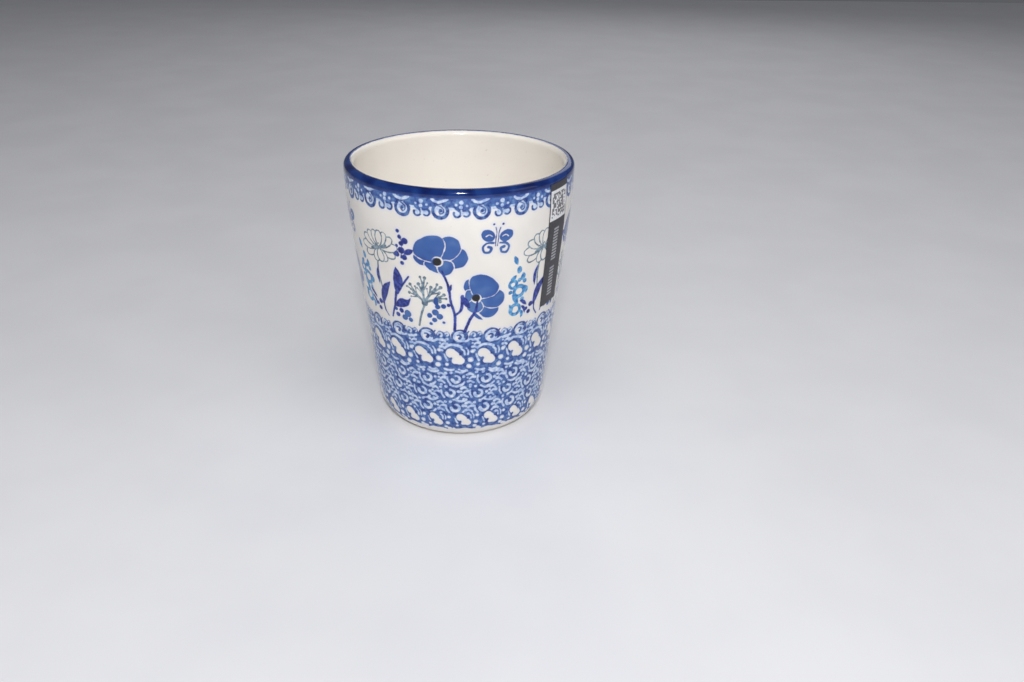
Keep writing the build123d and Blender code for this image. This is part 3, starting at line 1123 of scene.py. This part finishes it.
def fired_clay():
    """Bare stoneware: matt buff clay with a sandy grain."""
    nodes = Nodes("fired_clay")
    cloud = nodes.step(nodes.noise(8.0, 51, 3.0), 0.35, 0.65)
    colour = nodes.mix(cloud, (222, 214, 202), (233, 226, 216))
    colour = nodes.tinted(colour, nodes.noise(0.5, 52, 1.0), 0.6, 0.75, 0.4, (176, 160, 142))
    return nodes.finish(colour, cloud, 0.75, 0.1, nodes.times(nodes.noise(0.35, 53, 2.0), 0.06))


# Printing on the label, in millimetres down it and across it
PANEL_DOWN = (2.5, 14.2)
PANEL_MARGIN = 0.35
BLOCK = 0.62
BLOCK_ROWS = (6, 21)
BLOCK_COLUMNS = (2, 17)
BARS_DOWN = ((17.5, 31.0), (33.5, 46.0))
BARS_ACROSS = (3.7, 7.0)
CRISP = 0.01             # softness of the edges of bars and blocks


def label_film():
    """Charcoal label with a white panel of plain blocks and a line of plain pale marks."""
    nodes = Nodes("label_film")
    across = nodes.layer("across")
    down = nodes.layer("down")

    def between(value, low, high, soft=0.06):
        """1 between two values, with a soft printed edge."""
        rise = nodes.step(value, low - soft, low + soft)
        return nodes.times(rise, nodes.step(value, high + soft, high - soft))

    def scatter(share, seed):
        """Random blocks: 1 in a share of them."""
        cell = nodes.new("CombineXYZ")
        nodes.put(cell.inputs[0], nodes.math("FLOOR", nodes.math("DIVIDE", across, BLOCK)))
        nodes.put(cell.inputs[1], nodes.math("FLOOR", nodes.math("DIVIDE", down, BLOCK)))
        cell.inputs[2].default_value = seed
        white = nodes.new("TexWhiteNoise")
        nodes.put(white.inputs["Vector"], cell.outputs[0])
        return nodes.math("LESS_THAN", white.outputs["Value"], share)

    fibre = nodes.noise(0.7, 61, 3.0)
    charcoal = nodes.cloudy(fibre, 0.4, 0.62, (50, 50, 55), (64, 64, 69))
    paper = nodes.cloudy(fibre, 0.4, 0.62, (222, 222, 226), (234, 234, 236))
    panel_across = between(across, PANEL_MARGIN, LABEL_WIDTH - PANEL_MARGIN)
    panel = nodes.times(between(down, *PANEL_DOWN), panel_across)
    block_rows = between(down, *[BLOCK * row for row in BLOCK_ROWS], CRISP)
    block_columns = between(across, *[BLOCK * column for column in BLOCK_COLUMNS], CRISP)
    blocks = nodes.times(scatter(0.55, 8.0), nodes.times(block_rows, block_columns))
    bar = nodes.step(nodes.math("PINGPONG", down, BLOCK), 0.2, 0.3)
    first, second = [between(down, *span, CRISP) for span in BARS_DOWN]
    marks = nodes.times(bar, nodes.times(nodes.math("ADD", first, second), between(across, *BARS_ACROSS)))
    colour = nodes.mix(panel, charcoal, paper)
    colour = nodes.mix(nodes.times(blocks, 0.85), colour, (62, 62, 68))
    colour = nodes.mix(nodes.times(marks, 0.8), colour, (176, 176, 183))
    return nodes.finish(colour, fibre, 0.38, 0.2, nodes.times(fibre, 0.01))


def adhesive_film():
    """Milky film of glue along the label's edge."""
    nodes = Nodes("adhesive_film")
    cloud = nodes.noise(1.2, 71, 2.0)
    colour = nodes.cloudy(cloud, 0.35, 0.65, (196, 190, 172), (214, 209, 194))
    return nodes.finish(colour, cloud, 0.45, 0.2, nodes.times(cloud, 0.02))


def studio_floor():
    """Plain pale table top, faintly mottled."""
    nodes = Nodes("studio_floor")
    cloud = nodes.noise(60.0, 81, 3.0)
    colour = nodes.cloudy(cloud, 0.35, 0.65, (233, 233, 237), (237, 237, 240))
    return nodes.finish(colour, cloud, 0.5, 0.1, nodes.times(nodes.noise(1.2, 82, 2.0), 0.01))


# ---- Studio ----

CAMERA_DISTANCE = 357.0
CAMERA_HEIGHT = 202.07
CAMERA_PITCH = math.radians(26.05)       # below the horizontal
CAMERA_YAW = math.radians(3.394)         # towards +X
CAMERA_ROLL = math.radians(-0.944)
LENS = 33.39
SENSOR_WIDTH = 36.0
NEAREST = 0.01                           # nearest thing that the camera sees, in metres
FLOOR_SPAN = 3000.0
MIDDLE = Vector((0, 0, HEIGHT / 2))

# Name, place, size and power of each light, and whether the glaze mirrors it
LIGHTS = (
    ("key", (0, -670, 574), 90, 3.9, True),
    ("fill_top", (60, -520, 1060), 1300, 6.6, False),
    ("fill_left", (-900, -300, 420), 500, 0.1, True),
    ("fill_right", (800, -400, 420), 500, 0.6, True),
    ("fill_back", (250, 1000, 700), 700, 1.4, True),
)
ROOM_LIGHT = 0.14


def camera():
    """Camera at the viewing angle, a little above the mug."""
    data = bpy.data.cameras.new("camera")
    data.lens = LENS
    data.sensor_width = SENSOR_WIDTH
    data.clip_start = NEAREST
    item = bpy.data.objects.new("camera", data)
    turn = Matrix.Rotation(-CAMERA_YAW, 4, "Z") @ Matrix.Rotation(math.pi / 2 - CAMERA_PITCH, 4, "X")
    turn = turn @ Matrix.Rotation(-CAMERA_ROLL, 4, "Z")
    item.matrix_world = Matrix.Translation((0, -CAMERA_DISTANCE * MM, CAMERA_HEIGHT * MM)) @ turn
    bpy.context.scene.collection.objects.link(item)
    bpy.context.scene.camera = item


def area_light(name, place, size, power, mirrored):
    """Square soft light that faces the middle of the mug; its place and size are in millimetres."""
    data = bpy.data.lights.new(name, "AREA")
    data.size = size * MM
    data.energy = power
    item = bpy.data.objects.new(name, data)
    item.visible_glossy = mirrored
    bpy.context.scene.collection.objects.link(item)
    item.location = [value * MM for value in place]
    item.rotation_euler = (Vector(place) - MIDDLE).to_track_quat("Z", "Y").to_euler()


def lights():
    """Small key light above and behind the camera, broad soft fills, and a dim even room."""
    for light in LIGHTS:
        area_light(*light)
    world = bpy.data.worlds.new("room")
    world.use_nodes = True
    background = world.node_tree.nodes["Background"]
    background.inputs["Color"].default_value = shade(226, 228, 236)
    background.inputs["Strength"].default_value = ROOM_LIGHT
    bpy.context.scene.world = world


def floor(material):
    """Plain floor under the mug."""
    half = FLOOR_SPAN / 2 * MM
    corners = np.array([(-half, -half, 0), (half, -half, 0), (half, half, 0), (-half, half, 0)])
    item = new_object("floor", corners, [(0, 1, 2, 3)], material)


# ---- Assembly ----


def place_piece(piece, slot, *nodes):
    """A piece rides on the mug and stands for some CAD nodes, which it hides. The slot is not used."""
    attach(piece, "root")
    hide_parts(*nodes)


def build():
    """Every visible piece of the mug."""
    ivory = ivory_glaze()
    belts, rim = decorated_pieces(painted_glaze("decorated_glaze"), painted_glaze("cobalt_rim"))
    for belt in belts:
        place_piece(belt, "decorated_glaze", "outer_glaze")
    place_piece(rim, "cobalt_glaze", "rim_glaze")
    place_piece(liner_piece(ivory), "ivory_glaze", "liner_glaze")
    place_piece(base_piece(ivory), "ivory_glaze", "base_glaze")
    place_piece(clay_piece(fired_clay()), "fired_clay", "stoneware_body")
    adhesive = label_slab("label_glue", ADHESIVE_UNDER, ADHESIVE, ADHESIVE_MARGIN, adhesive_film())
    place_piece(adhesive, "adhesive", "label_adhesive")
    face = label_slab("label_strip", ADHESIVE, ADHESIVE + LABEL_FACE, 0.0, label_film())
    place_piece(face, "label_film", "label_face")


build()
floor(studio_floor())
camera()
lights()
bpy.context.scene.view_settings.view_transform = "Standard"
